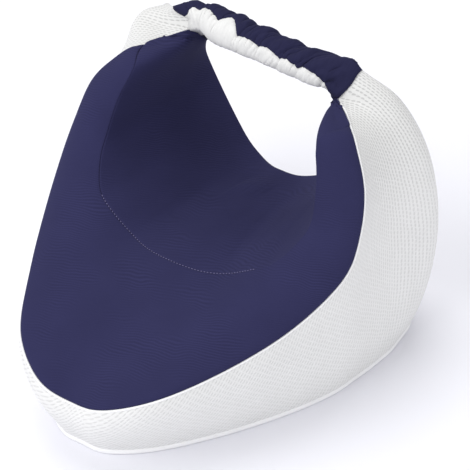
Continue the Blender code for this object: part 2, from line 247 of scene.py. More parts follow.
# Where the soft horns sag a little. Columns: middle x, y, z, radius and move.
SAGS = (
    (53.0, 184.0, 160.5, 12.0, -1.2, -1.9, -1.1),
    (62.0, 197.0, 172.0, 9.0, -3.9, -1.4, 1.3),
    (-62.0, 197.0, 172.0, 10.5, -5.4, -5.6, -2.0),
    (-59.5, 187.5, 166.5, 6.5, 4.4, 3.1, 0.0),
    (-82.0, 180.0, 154.0, 16.0, -4.8, -1.5, 3.4),
    (-84.0, 186.0, 158.0, 12.0, -3.5, -1.0, 3.5),
    (-71.5, 164.0, 157.5, 9.0, 4.2, 0.0, 0.9),
    (-80.0, 155.0, 152.0, 13.0, 0.8, 0.0, -1.8),
    (-53.0, 184.0, 160.5, 11.0, 1.0, 1.5, 2.7),
    (-50.5, 191.0, 156.0, 7.0, 0.0, 1.5, 2.0),
)

# The mesh side's columns of holes lean over the nose. Columns: distance along
# the base's edge from the nose's middle, and how far a column leans for its height.
MESH_LEAN = (
    (-150.0, 0.0),
    (-70.0, 0.8),
    (0.0, 1.0),
    (60.0, 0.75),
    (110.0, 0.55),
    (160.0, 0.3),
    (205.0, 0.0),
)

# The strap's white cloth stands up in scallops over the navy. Columns: the
# scallop's end from 0 at the left horn to 1 at the right one, the turn of the
# seam there and how far the scallop before it stands up, both in degrees.
SCALLOPS = (
    (0.0, 0.0, 0.0),
    (0.1, -6.0, 12.0),
    (0.225, -10.0, 12.0),
    (0.345, -18.0, 42.0),
    (0.48, -4.0, 14.0),
    (0.61, -6.0, 16.0),
    (0.715, -2.0, 16.0),
    (0.865, -6.0, 22.0),
    (0.96, -4.0, 10.0),
    (1.0, 0.0, 0.0),
)

# Columns of a navy panel, by their distance from its long edges in millimetres
EDGE_STEPS = (0.0, 0.3, 0.7, 1.2, 1.8, 2.8, 4.6)
EVEN_STEPS = 26
# A row narrower than this many close edges is shared out evenly
EDGE_ROOM = 3

# How the navy panels meet their seams, in millimetres
SEWN_DEPTH = 0.2
SEAM_TURN_WIDTH = 5.0
HORN_TIP_LIFT = 0.3
HORN_TIP_REACH = 14.0
BACK_ROLL = 16.0
BACK_SHORT = 0.8
EDGE_TAPER = 4.0
NECK_EDGE = 2.5
# The share of its thickness that a panel keeps at its edges
THIN_SHARE = 0.15
# Rows over which the rim's seam sinks into the join, and rows that the lip leaves bare
JOIN_ROWS = 4
LIP_ENDS = 4
# The share of its radius that the lip stands out
LIP_OUT = 0.4
# Shares of the rim's length, from the left horn
CREASE_FADES_FROM = 0.5
CREASE_FADES_TO = 0.6
STITCHES_FROM = 0.31
STITCHES_TO = 0.66
# A stitch's thickness is a share of its length, and the rest is in millimetres
STITCH_THICKNESS = 0.2
STITCH_RISE = 0.3
BASE_CLOTH_HEIGHT = 5.0
BASE_CLOTH_ROUND = 1.8
STRAP_CLOTH = 1.0

# How the mesh side's columns of holes spread, and crowd together at the horns' tips
BESIDE_SHARE = 1.15
TIP_HEIGHT = 172.0
TIP_Y = 76.0
TIP_CROWDING = 5.0
CROWDING_POWER = 4

# The stuffing's simulation, with the cloth held near its seams and its base
STUFFING_FRAMES = 20
STUFFING_NEIGHBOURS = 6
PRESSURE = 4.0
SEWN_WITHIN = 5.0
HELD_ABOVE_BASE = 1.0

# The strap's gathers run in waves along it, counted from 0 to 1
SCALLOP_SHARPNESS = 0.8
SEAM_WANDER = 3.0
SEAM_WANDER_PACE = 45
GATHER_DRIFT = 0.015
GATHER_DRIFT_PACE = 11
GATHER_SHARPNESS = 0.7
GATHER_LEVEL = 0.55
SPLIT_MOST = 0.8
SPLIT_PACE = 3.7
SPLIT_START = 0.6
SPLIT_LEVEL = 0.5
SPLIT_SHARE = 0.35
CRINKLE_PACE = 75
FINE_CRINKLE_PACE = 170
# Radians from the seam at which a half is as smooth as it gets
SMOOTH_BEYOND = 1.4
# Columns: share of the large gathers, how much of it goes far from the seam, share
# of the finest crinkles, and how much of the crinkles goes far from the seam.
NAVY_GATHERS = (1.25, 0.0, 0.25, 0.0)
WHITE_GATHERS = (0.8, 0.6, 0.6, 0.65)

# Fineness of the cloths' patterns, in waves a metre
SPECKS = 2600
COURSE_WAVES = 55
COURSE_PATCHES = 30
MESH_WAVES = 160
CREASES = (620, 90, 1)
# The way in which the knit's rows climb, as shares of x, y and z
COURSE_WAY = (-0.2, 0.5, 0.84)
# A mesh hole's half width and half length, in columns and in holes
HOLE_WIDTH = 0.2
HOLE_LENGTH = 0.42
MESH_SWERVE = 0.5
# How high the mesh's threads stand, as a share of its holes' depth
THREAD_RELIEF = 0.3
# Heights in metres over which painted shade darkens the mesh towards the horns' tops
TOP_SHADE_FROM = 0.1
TOP_SHADE_TO = 0.165
# Painted shade: how much darker the holes are than the cloth, how much more so
# towards the horns' tops, and how much darker the cloth between them is there
HOLE_SHADE = 0.13
TOP_HOLE_SHADE = 0.11
TOP_CLOTH_SHADE = 0.09

# The stage, in metres and degrees. Columns: name, the way that the light comes
# from, as x, y and z, and its power.
LIGHTS = (
    ("key", (-0.35, -0.74, 0.57), 1.55),
    ("top", (-0.35, 0.3, 0.89), 1.15),
    ("fill", (0.95, -0.25, 0.2), 0.7),
)
SOFTNESS = 50.0
SKY = 0.6
FLOOR_SIZE = 4
CAMERA_TARGET = (0, -0.0058, 0.09)
CAMERA_AZIMUTH = 35
CAMERA_ELEVATION = 38
CAMERA_DISTANCE = 1.56
CAMERA_FILM = 36
CAMERA_LENS = 209.86
CAMERA_SHIFT = (0.10296, -0.01432)


def length(name, description, millimetres):
    return FloatProperty(
        name=name, description=description, default=millimetres * MM, unit="LENGTH"
    )


def colour(name, description, *rgb):
    return FloatVectorProperty(
        name=name, description=description, default=rgb, subtype="COLOR", size=3
    )


class PillowSizes(bpy.types.PropertyGroup):
    """Sizes of the cloth, the seams and the strap's gathers"""

    panel_lift: length("Panel lift", "How far a navy panel stands off the foam", 1.9)
    panel_thickness: length("Panel thickness", "Thickness of the knit panels", 1.5)
    nose_roll: length("Nose roll", "Width of the rounded edge at the mesh side", 4.5)
    rim_roll: length("Rim roll", "Width of the rounded edge at the channel", 1.5)
    seam_height: length("Seam height", "How far the rim's seam stands off the foam", 1.3)
    lip: length("Lip", "Radius of the white lip along the navy seam", 0.6)
    stitch: length("Stitch", "Length of one stitch", 1.2)
    stitch_pitch: length("Stitch pitch", "Distance from stitch to stitch", 1.9)
    swelling: length("Swelling", "The most that the stuffing pushes the cloth out", 1.6)
    voxel: length("Voxel", "Size of the stuffing's simulation cells", 5.0)
    gather: length("Gather", "Height of the strap's large gathers", 1.9)
    crinkle: length("Crinkle", "Height of the strap's small crinkles", 0.8)
    hole_pitch: length("Hole pitch", "Distance between the mesh's holes", 2.85)


class PillowColours(bpy.types.PropertyGroup):
    """Colours of the pillow's cloths"""

    navy: colour("Navy", "The smooth knit of the panels", 0.028, 0.028, 0.08)
    strap_navy: colour("Strap navy", "The gathered navy knit", 0.02, 0.02, 0.055)
    mesh: colour("Mesh", "The air mesh round the side", 0.77, 0.77, 0.765)
    white: colour("White", "The strap's white knit", 0.71, 0.71, 0.705)
    base: colour("Base", "The smooth base cloth and the lip", 0.88, 0.88, 0.89)
    thread: colour("Thread", "The stitches along the channel", 0.16, 0.15, 0.28)
    floor: colour("Floor", "The floor under the pillow", 0.86, 0.86, 0.915)


def sizes():
    return bpy.context.scene.pillow_sizes


def colours():
    return bpy.context.scene.pillow_colours


# Shape of the cloth faces


def catmull(t, before, start, end, after):
    """One number of a smooth curve between start and end."""
    return 0.5 * (
        2 * start
        + (end - before) * t
        + (2 * before - 5 * start + 4 * end - after) * t * t
        + (3 * start - before - 3 * end + after) * t**3
    )


def smooth_run(rows, steps, mirror_first=False):
    """Points along a smooth curve through the rows, with even steps between rows."""
    rows = [list(row) for row in rows]
    if mirror_first:
        first = [-rows[1][0], *rows[1][1:]]
    else:
        first = [2 * a - b for a, b in zip(rows[0], rows[1])]
    last = [2 * a - b for a, b in zip(rows[-1], rows[-2])]
    ends = [first, *rows, last]
    found = []
    for index in range(1, len(ends) - 2):
        before, start, end, after = ends[index - 1 : index + 3]
        for step in range(steps):
            t = step / steps
            found.append([catmull(t, *four) for four in zip(before, start, end, after)])
    found.append(rows[-1])
    return found


def seam(table):
    """A seam from the left horn to the right one, drawn from its right half."""
    run = smooth_run(table, STEPS_PER_STATION, mirror_first=True)
    left = [[-row[0], *row[1:]] for row in reversed(run[1:])]
    return [Vector(row[:3]) for row in left + run]


def eased(share):
    """From 0 to 1 with a soft start and a soft end."""
    return share * share * (3 - 2 * share)


def crowned(start, end, lift, count):
    """Points from start to end on a shallow arch, lifted at its middle."""
    points = []
    for index in range(count + 1):
        t = index / count
        points.append(start.lerp(end, t) + lift * (4 * t * (1 - t)))
    return points


def face_grid(first, second, crown, count):
    """Rows of points between two seams, crowned along the face's own normal."""
    grid = []
    last = len(first) - 1
    for index, (a, b) in enumerate(zip(first, second)):
        before, after = max(index - 1, 0), min(index + 1, last)
        along = (first[after] + second[after]) - (first[before] + second[before])
        normal = along.cross(b - a).normalized()
        near_end = min(index, last - index) / last
        grid.append(crowned(a, b, normal * crown * min(1.0, near_end * CROWN_FADE), count))
    return grid


def tip_edge(a, b, opposite, crown, count):
    """One rounded edge of a horn's flat tip, in the plane of its three corners."""
    line = (b - a).normalized()
    away = (a + b) / 2 - opposite
    away -= line * away.dot(line)
    return crowned(a, b, away.normalized() * crown, count)


def bezier(a, b, c, d, count):
    """Points of a cubic curve from a to d, with b and c as its handles."""
    points = []
    for index in range(count + 1):
        t = index / count
        s = 1 - t
        points.append(a * s**3 + b * (3 * s * s * t) + c * (3 * s * t * t) + d * t**3)
    return points


def side_grid(nose, back, horn_end):
    """Rows of points down the mesh side, once round the pillow from the nose."""
    tops, feet = [], []
    nose_rows = smooth_run(NOSE_FOOT, STEPS_PER_STATION, mirror_first=True)
    back_rows = smooth_run(BACK_FOOT, STEPS_PER_STATION, mirror_first=True)
    middle = len(nose) // 2
    for step, row in enumerate(nose_rows):
        tops.append(nose[middle + step])
        feet.append(row)
    for step in range(1, HORN_END_STEPS):
        t = step / HORN_END_STEPS
        tops.append(horn_end[step])
        feet.append([a + (b - a) * t for a, b in zip(nose_rows[-1], back_rows[-1])])
    for step in range(len(back_rows) - 1, -1, -1):
        tops.append(back[middle + step])
        feet.append(back_rows[step])
    mirror = Vector((-1, 1, 1))
    for index in range(len(tops) - 2, 0, -1):
        tops.append(tops[index] * mirror)
        feet.append([-feet[index][0], *feet[index][1:]])
    grid = []
    total = len(tops)
    for index in range(total):
        x, y, out, drop, foot_out, rise = feet[index]
        ahead, behind = feet[(index + 1) % total], feet[index - 1]
        outward = Vector((ahead[1] - behind[1], behind[0] - ahead[0], 0)).normalized()
        top = tops[index]
        foot = Vector((x, y, BASE_THICKNESS + GAP))
        upper = top + outward * out - Vector((0, 0, drop))
        lower = foot + outward * foot_out + Vector((0, 0, rise))
        grid.append(bezier(top, upper, lower, foot, SIDE_STEPS))
    for _ in range(SIDE_ROUNDINGS):
        grid = evened(grid)
    return grid


def evened(grid):
    """The mesh side with its points behind the nose drawn towards their neighbours."""
    total = len(grid)
    found = []
    for index, row in enumerate(grid):
        before, after = grid[index - 1], grid[(index + 1) % total]
        behind = min(1.0, max(0.0, (row[-1].y - EVEN_FROM_Y) / EVEN_OVER_Y))
        drawn = [row[0]]
        for step in range(1, len(row) - 1):
            share = behind * min(1.0, step / EVEN_BELOW_STEP)
            middle = (before[step] + after[step]) / 2
            drawn.append(row[step].lerp(middle, share / 2))
        found.append([*drawn, row[-1]])
    return found


def rounded_tips(grid):
    """The channel's cloth drawn smooth over its last rows at each horn's tip."""
    last = len(grid) - 1
    ends = [*range(1, TIP_ROWS), *range(last - TIP_ROWS + 1, last)]
    for _ in range(TIP_ROUNDINGS):
        before = [list(row) for row in grid]
        for i in ends:
            for j in range(1, len(grid[0]) - 1):
                around = before[i - 1][j] + before[i + 1][j]
                around += before[i][j - 1] + before[i][j + 1]
                grid[i][j] = before[i][j].lerp(around / 4, 0.5)
    return grid


def finer(points, steps, closed=False):
    """The same smooth surface with this many rows for each one."""
    if closed:
        first, last = points[-1:], points[:2]
    else:
        first = 3 * points[:1] - 3 * points[1:2] + points[2:3]
        last = 3 * points[-1:] - 3 * points[-2:-1] + points[-3:-2]
    ends = np.concatenate((first, points, last))
    count = len(points) if closed else len(points) - 1
    rows = []
    for step in range(steps):
        four = [ends[k : k + count] for k in range(4)]
        rows.append(catmull(step / steps, *four))
    found = np.stack(rows, axis=1).reshape(count * steps, *points.shape[1:])
    return np.concatenate((found, points[:1] if closed else points[-1:]))


def fine_face(grid, closed=False):
    """A coarse grid of points made finer both ways, in metres about the origin."""
    points = np.array([[tuple(spot) for spot in row] for row in grid])
    points = finer(points, FINER_ALONG, closed)
    points = finer(points.swapaxes(0, 1), FINER_ACROSS).swapaxes(0, 1)
    return (points - (0, MIDDLE_Y, 0)) * MM


@functools.cache
def cloth_faces():
    """The fine point grids of the front, channel, back and side, and the tip's edge."""
    nose, rim = seam(NOSE_SEAM), seam(RIM_SEAM)
    channel_end, back = seam(CHANNEL_END), seam(BACK_SEAM)
    swell = seam(CHANNEL_SWELL)
    join = JOIN_STATION * STEPS_PER_STATION
    middle = len(nose) // 2
    for step in range(join, middle + 1):
        for index in (middle - step, middle + step):
            rim[index] = nose[index].copy()
    part = slice(middle - join, middle + join + 1)
    front = face_grid(nose[part], rim[part], FRONT_CROWN, FRONT_STEPS)
    channel = [crowned(*row, CHANNEL_STEPS) for row in zip(rim, channel_end, swell)]
    rear = face_grid(channel_end, back, BACK_CROWN, BACK_STEPS)
    for end in (0, -1):
        first, low, top = nose[end], channel_end[end], back[end]
        channel[end] = tip_edge(first, low, top, HORN_UNDER_CROWN, CHANNEL_STEPS)
        rear[end] = tip_edge(low, top, first, HORN_END_CROWN, BACK_STEPS)
        tip = tip_edge(first, top, low, HORN_END_CROWN, HORN_END_STEPS)
    side = side_grid(nose, back, tip)
    tip_loop = channel[-1][:-1] + rear[-1][:-1] + tip[:0:-1]
    channel = rounded_tips(channel)
    # The side starts behind the pillow, where its two ends are sewn together.
    half = len(side) // 2
    side = side[half:] + side[:half]
    faces = {
        "front": fine_face(front),
        "channel": fine_face(channel),
        "back": fine_face(rear),
        "side": fine_face(side, closed=True),
    }
    return faces, tip_loop


def lengths(points, axis):
    """Distance along the cloth from the first row or column to each point."""
    steps = np.linalg.norm(np.diff(points, axis=axis), axis=2)
    start = np.zeros_like(np.take(steps, [0], axis=axis))
    return np.concatenate((start, np.cumsum(steps, axis=axis)), axis=axis)


def unit(ways, axis=2):
    """The ways with a length of 1 each."""
    return ways / np.maximum(np.linalg.norm(ways, axis=axis, keepdims=True), NO_WAY)


def normals(points, closed=False):
    """Outward direction at each point of a face."""
    if closed:
        ring = np.concatenate((points[-2:-1], points, points[1:2]))
        along = ring[2:] - ring[:-2]
    else:
        along = np.gradient(points, axis=0)
    across = np.gradient(points, axis=1)
    found = unit(np.cross(along, across))
    return -found if closed else found


def respaced(points, edge_steps, even_steps, short=0.0):
    """A face's columns spaced anew: close together near its two long edges.

    The last column stops short of the face's edge by this distance.
    """
    reach = edge_steps[-1]
    found = []
    across = lengths(points, 1)
    for row, run in zip(points, across):
        total = max(run[-1] - short, NO_DISTANCE)
        near = np.array(edge_steps) * min(1.0, total / (EDGE_ROOM * reach))
        middle = np.linspace(near[-1], total - near[-1], even_steps + 1)[1:-1]
        places = np.concatenate((near, middle, total - near[::-1]))
        found.append([np.interp(places, run, row[:, k]) for k in range(3)])
    return np.array(found).swapaxes(1, 2)


# Stuffing


def cad_copy(name):
    """A merged copy of a CAD node's mesh, as a new object."""
    bm = bmesh.new()
    bm.from_mesh(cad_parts[name].data)
    bmesh.ops.remove_doubles(bm, verts=bm.verts, dist=MERGE * MM)
    bmesh.ops.recalc_face_normals(bm, faces=bm.faces)
    return new_object("stuffing", bm)


def linked(name, data):
    """A new object in the scene that shows this data."""
    obj = bpy.data.objects.new(name, data)
    bpy.context.scene.collection.objects.link(obj)
    return obj


def new_object(name, bm):
    """A new object with the bmesh's shape, at the origin."""
    mesh = bpy.data.meshes.new(name)
    bm.to_mesh(mesh)
    bm.free()
    return linked(name, mesh)


def shown_mesh(obj):
    """A new mesh as the object looks with its modifiers."""
    graph = bpy.context.evaluated_depsgraph_get()
    return bpy.data.meshes.new_from_object(obj.evaluated_get(graph))


def corners(mesh):
    """The mesh's points as an array."""
    found = np.empty(len(mesh.vertices) * 3)
    mesh.vertices.foreach_get("co", found)
    return found.reshape(-1, 3)


@functools.cache
def stuffing():
    """Where the stuffing pushes the cloth out: a tree of points and their moves.

    The body is blown up a little while its seams and base are held.
    """
    obj = cad_copy("cushion")
    remesh = obj.modifiers.new("cells", "REMESH")
    remesh.mode = "VOXEL"
    remesh.voxel_size = sizes().voxel
    mesh = shown_mesh(obj)
    obj.modifiers.clear()
    obj.data = mesh
    before = corners(mesh)
    faces, _ = cloth_faces()
    lines = [faces["side"][:, 0], faces["side"][:, -1], faces["front"][:, -1]]
    lines.append(faces["back"][:, 0])
    held = KDTree(sum(len(line) for line in lines))
    for number, spot in enumerate(np.concatenate(lines)):
        held.insert(spot, number)
    held.balance()
    sewn = obj.vertex_groups.new(name="sewn")
    floor = (BASE_THICKNESS + GAP + HELD_ABOVE_BASE) * MM
    for index, spot in enumerate(before):
        if spot[2] < floor or held.find(spot)[2] < SEWN_WITHIN * MM:
            sewn.add([index], 1.0, "REPLACE")
    cloth = obj.modifiers.new("cloth", "CLOTH")
    settings = cloth.settings
    settings.vertex_group_mass = sewn.name
    settings.use_pressure = True
    settings.uniform_pressure_force = PRESSURE
    settings.effector_weights.gravity = 0
    cloth.point_cache.frame_start = 1
    cloth.point_cache.frame_end = STUFFING_FRAMES
    for number in range(1, STUFFING_FRAMES + 1):
        bpy.context.scene.frame_set(number)
    after_mesh = shown_mesh(obj)
    move = corners(after_mesh) - before
    far = np.linalg.norm(move, axis=1, keepdims=True)
    most = sizes().swelling
    move *= most * np.tanh(far / most) / np.maximum(far, NO_DISTANCE)
    tree = KDTree(len(before))
    for index, spot in enumerate(before):
        tree.insert(spot, index)
    tree.balance()
    bpy.context.scene.frame_set(1)
    bpy.data.objects.remove(obj, do_unlink=True)
    return tree, move


def sagged(points):
    """The points moved where the soft horns sag."""
    found = points.copy()
    for x, y, z, radius, *move in SAGS:
        middle = np.array((x, y - MIDDLE_Y, z)) * MM
        far = ((points - middle) ** 2).sum(axis=2) / (radius * MM) ** 2
        found += np.exp(-far)[..., None] * np.array(move) * MM
    return found


def stuffed(points):
    """The points moved as the stuffing and the sagging push the cloth there."""
    points = sagged(points)
    made = stuffing()
    if made is None:
        return points
    tree, move = made
    flat = points.reshape(-1, 3).copy()
    for spot in flat:
        near = tree.find_n(spot, STUFFING_NEIGHBOURS)
        shares = np.array([1 / (found[2] + MM) ** 2 for found in near])
        pushes = np.array([move[found[1]] for found in near])
        spot += (pushes * shares[:, None]).sum(axis=0) / shares.sum()
    return flat.reshape(points.shape)


def folded(points, outward, folds=FOLDS):
    """The points with the cloth's soft folds added."""
    found = points.copy()
    for x, y, z, *way, half_length, half_width, height in folds:
        middle = np.array((x, y - MIDDLE_Y, z)) * MM
        way = np.array(way) / np.linalg.norm(way)
        apart = points - middle
        along = apart @ way
        aside = (apart**2).sum(axis=2) - along**2
        share = np.exp(-((along / (half_length * MM)) ** 2) - aside / (half_width * MM) ** 2)
        found += outward * (share * height * MM)[..., None]
    return found


# Building meshes


def add_face(bm, points, u, v, thick=None):
    """Adds a grid to bm, drawn onto the points, with u and v as its UV map.

    The share of its thickness at each point goes to its first vertex group.
    """
    rows, columns = points.shape[:2]
    layer = bm.loops.layers.uv.verify()
    weights = None if thick is None else bm.verts.layers.deform.verify()
    made = bmesh.ops.create_grid(
        bm, x_segments=rows - 1, y_segments=columns - 1, size=1, calc_uvs=False
    )
    places = {}
    for vertex in made["verts"]:
        i = round((vertex.co.x + 1) / 2 * (rows - 1))
        j = round((vertex.co.y + 1) / 2 * (columns - 1))
        places[vertex] = i, j
    for vertex, (i, j) in places.items():
        vertex.co = points[i, j]
        if weights is not None:
            vertex[weights][0] = thick[i, j]
        for loop in vertex.link_loops:
            loop[layer].uv = u[i, j], v[i, j]


def merged(bm):
    """Merges the points that meet, and takes out the edges that are too short."""
    bmesh.ops.remove_doubles(bm, verts=bm.verts, dist=MERGE * MM)
    bmesh.ops.dissolve_degenerate(bm, dist=SHORT_EDGE * MM, edges=bm.edges)


def cloth_uv(points):
    """UV of a face in metres of cloth: along it, and across it from its middle."""
    across = lengths(points, 1)
    middle = points.shape[1] // 2
    along = lengths(points[:, middle : middle + 1], 0)
    half = across[:, -1:] / 2
    return np.broadcast_to(along, across.shape), across - half


def mesh_uv(points):
    """UV of the mesh side, in mesh columns along it and in holes up from its foot."""
    down = lengths(points, 1)
    run = lengths(points[:, -1:], 0)
    run = run - run[-1] / 2
    foot = points[:, -1:, :2]
    way = unit(np.gradient(foot, axis=0))
    beside = ((points[..., :2] - foot) * way).sum(axis=2)
    stops, leans = zip(*MESH_LEAN)
    lean = np.interp(run / MM, stops, leans)
    pitch = sizes().hole_pitch
    high = (points[..., 2] / TIP_HEIGHT / MM) ** CROWDING_POWER
    spread = high * way[..., 1] * (points[..., 1] - TIP_Y * MM)
    u = (run + BESIDE_SHARE * beside + spread - lean * points[..., 2]) / pitch
    return u, (down[:, -1:] - down) / pitch + TIP_CROWDING * high


def shaded(obj, material, angle=50):
    """Smooth shading with edges sharp above this angle, and one material."""
    mesh = obj.data
    mesh.materials.clear()
    mesh.materials.append(material)
    mesh.shade_smooth()
    mesh.set_sharp_from_angle(angle=math.radians(angle))
    return obj


def thickened(obj, thickness):
    """Gives a cloth its thickness, inwards from its outer side."""
    wall = obj.modifiers.new("wall", "SOLIDIFY")
    wall.thickness = thickness
    wall.offset = -1
    return obj


def rolled(away, roll, low, high):
    """Height of a cloth over its seam: low at the edge, rounded up to high."""
    share = np.clip(away / roll, 0, 1)
    return low + (high - low) * np.sqrt(1 - (1 - share) ** 2)


def sloped(away, reach, low, high):
    """Height of a cloth over its seam: it rises slowly, so that no edge stands up."""
    return low + (high - low) * np.clip(away / reach, 0, 1) ** 2


# Materials


def feed(tree, socket, source):
    """Sets a socket to a number or a colour, or links it to another socket."""
    if isinstance(source, bpy.types.NodeSocket):
        tree.links.new(source, socket)
    else:
        socket.default_value = source


def add(tree, kind, *sources, **settings):
    """Adds a node, feeds its first sockets in order, and returns its first output."""
    made = tree.nodes.new("ShaderNode" + kind)
    for key, value in settings.items():
        setattr(made, key, value)
    for socket, source in zip(made.inputs, sources):
        feed(tree, socket, source)
    return made.outputs[0]


def calc(tree, operation, *sources):
    return add(tree, "Math", *sources, operation=operation)


def group(name, inputs, outputs):
    """A new node group with these float or vector sockets, and its two ends."""
    tree = bpy.data.node_groups.new(name, "ShaderNodeTree")
    for title, kind in inputs:
        tree.interface.new_socket(
            title, in_out="INPUT", socket_type="NodeSocket" + kind
        )
    for title in outputs:
        tree.interface.new_socket(title, in_out="OUTPUT", socket_type="NodeSocketFloat")
    start = tree.nodes.new("NodeGroupInput")
    end = tree.nodes.new("NodeGroupOutput")
    return tree, start.outputs, end.inputs


def waves(tree, place, scale, **inputs):
    """Soft noise at this place, of this fineness."""
    made = add(tree, "TexNoise", place).node
    for title, value in {"Scale": scale, **inputs}.items():
        feed(tree, made.inputs[title], value)
    return made.outputs["Fac"]


def smooth_step(tree, value, low, high):
    """0 below low and 1 above high, with a soft change between."""
    return add(tree, "MapRange", value, low, high, interpolation_type="SMOOTHSTEP")


@functools.cache
def colour_drift():
    """Soft patches and specks that no real cloth is without."""
    tree, start, end = group(
        "Colour drift",
        [("Place", "Vector"), ("Patch size", "Float"), ("Patch strength", "Float")],
        ["Shade"],
    )
    scale = calc(tree, "DIVIDE", 1.0, start["Patch size"])
    large = waves(tree, start["Place"], scale)
    mixed = calc(tree, "ADD", large, waves(tree, start["Place"], SPECKS))
    drift = calc(tree, "SUBTRACT", mixed, 1.0)
    scaled = calc(tree, "MULTIPLY", drift, start["Patch strength"])
    tree.links.new(calc(tree, "ADD", scaled, 1.0), end["Shade"])
    return tree


@functools.cache
def knit_courses():
    """Wavy rows of a fine knit."""
    tree, start, end = group(
        "Knit courses",
        [("Place", "Vector"), ("Pitch", "Float"), ("Wave", "Float")],
        ["Height"],
    )
    spread = waves(tree, start["Place"], COURSE_WAVES, Detail=1)
    parts = add(tree, "SeparateXYZ", start["Place"]).node.outputs
    place = calc(tree, "MULTIPLY", spread, start["Wave"])
    for axis, share in zip("XYZ", COURSE_WAY):
        place = calc(tree, "MULTIPLY_ADD", parts[axis], share, place)
    turns = calc(tree, "DIVIDE", place, start["Pitch"])
    rows = calc(tree, "SINE", calc(tree, "MULTIPLY", turns, 2 * math.pi))
    tree.links.new(calc(tree, "MULTIPLY_ADD", rows, 0.5, 0.5), end["Height"])
    return tree


@functools.cache
def air_mesh():
    """Columns of staggered long holes between raised threads."""
    tree, start, end = group(
        "Air mesh",
        [("Cloth", "Vector"), ("Place", "Vector")],
        ["Hole", "Thread"],
    )
    parts = add(tree, "SeparateXYZ", start["Cloth"]).node.outputs
    drift = waves(tree, start["Place"], MESH_WAVES)
    swerve = calc(tree, "MULTIPLY_ADD", drift, MESH_SWERVE, -MESH_SWERVE / 2)
    across = calc(tree, "ADD", parts["X"], swerve)
    column = calc(tree, "FLOOR", across)
    x = calc(tree, "SUBTRACT", calc(tree, "FRACT", across), 0.5)
    stagger = calc(tree, "FRACT", calc(tree, "MULTIPLY", column, 0.5))
    down = calc(tree, "ADD", calc(tree, "ADD", parts["Y"], stagger), swerve)
    y = calc(tree, "SUBTRACT", calc(tree, "FRACT", down), 0.5)
    wide = calc(tree, "POWER", calc(tree, "DIVIDE", x, HOLE_WIDTH), 2.0)
    long = calc(tree, "POWER", calc(tree, "DIVIDE", y, HOLE_LENGTH), 2.0)
    far = calc(tree, "ADD", wide, long)
    open_part = calc(tree, "SUBTRACT", 1.0, smooth_step(tree, far, low=0.3, high=1.4))
    ridge = calc(tree, "ABSOLUTE", x)
    tree.links.new(open_part, end["Hole"])
    tree.links.new(calc(tree, "MULTIPLY", ridge, 2.0), end["Thread"])
    return tree


def new_material(name, roughness, sheen=0.0):
    """A material with its tree, its shader and its place on the object."""
    material = bpy.data.materials.new(name)
    material.use_nodes = True
    tree = material.node_tree
    shader = tree.nodes["Principled BSDF"]
    shader.inputs["Roughness"].default_value = roughness
    shader.inputs["Sheen Weight"].default_value = sheen
    shader.inputs["Sheen Roughness"].default_value = 0.5
    shader.inputs["Specular IOR Level"].default_value = 0.05
    places = add(tree, "TexCoord").node.outputs
    return material, tree, shader, places


def placed(tree, made_group, **values):
    """Places a node group and feeds its named sockets."""
    node = tree.nodes.new("ShaderNodeGroup")
    node.node_tree = made_group
    for title, value in values.items():
        feed(tree, node.inputs[title.replace("_", " ")], value)
    return node.outputs


def drifting(tree, place, size, strength):
    """The shade of a cloth's patches of this size, in metres."""
    drift = colour_drift()
    return placed(tree, drift, Place=place, Patch_size=size, Patch_strength=strength)[0]


def tinted(tree, shader, base, shade):
    """The base colour, darker or lighter by the shade."""
    scaled = add(tree, "VectorMath", (*base,), (1, 1, 1), operation="SCALE")
    tree.links.new(shade, scaled.node.inputs["Scale"])
    tree.links.new(scaled, shader.inputs["Base Color"])


def bumped(tree, shader, height, strength, distance):
    """Raises the surface by the height."""
    bump = tree.nodes.new("ShaderNodeBump")
    bump.inputs["Strength"].default_value = strength
    bump.inputs["Distance"].default_value = distance
    tree.links.new(height, bump.inputs["Height"])
    tree.links.new(bump.outputs["Normal"], shader.inputs["Normal"])


def knit_material(name, base, roughness, pitch, wave, depth, contrast):
    """A fine knit with wavy rows."""
    material, tree, shader, places = new_material(name, roughness, sheen=0.02)
    place = places["Object"]
    rows = placed(tree, knit_courses(), Place=place, Pitch=pitch, Wave=wave)["Height"]
    drift = drifting(tree, place, size=0.03, strength=0.22)
    shown = waves(tree, place, COURSE_PATCHES)
    patch = smooth_step(tree, shown, low=0.4, high=0.65)
    offset = calc(tree, "MULTIPLY_ADD", rows, 2.0, -1.0)
    faded = calc(tree, "MULTIPLY", offset, patch)
    lines = calc(tree, "MULTIPLY_ADD", faded, contrast / 2, 1.0)
    tinted(tree, shader, base, calc(tree, "MULTIPLY", lines, drift))
    bumped(tree, shader, rows, depth, distance=0.2 * MM)
    return material


def mesh_material(name, base):
    """White air mesh, with painted shade darkening its holes."""
    material, tree, shader, places = new_material(name, roughness=0.9, sheen=0.1)
    place = places["Object"]
    holes = placed(tree, air_mesh(), Cloth=places["UV"], Place=place)
    drift = drifting(tree, place, size=0.02, strength=0.06)
    height = add(tree, "SeparateXYZ", place).node.outputs["Z"]
    # Painted shade that darkens the mesh, its holes and the cloth between them, towards the
    # horns' tops
    remapped = smooth_step(tree, height, TOP_SHADE_FROM, TOP_SHADE_TO)
    depth = calc(tree, "MULTIPLY_ADD", remapped, -TOP_HOLE_SHADE, -HOLE_SHADE)
    ground = calc(tree, "MULTIPLY_ADD", remapped, -TOP_CLOTH_SHADE, 1.0)
    # Painted shade darkens the cloth in the mesh's holes
    dark = calc(tree, "MULTIPLY_ADD", holes["Hole"], depth, ground)
    tinted(tree, shader, base, calc(tree, "MULTIPLY", dark, drift))
    low = calc(tree, "MULTIPLY", holes["Hole"], -1.0)
    relief = calc(tree, "MULTIPLY_ADD", holes["Thread"], THREAD_RELIEF, low)
    bumped(tree, shader, relief, strength=0.5, distance=0.4 * MM)
    return material


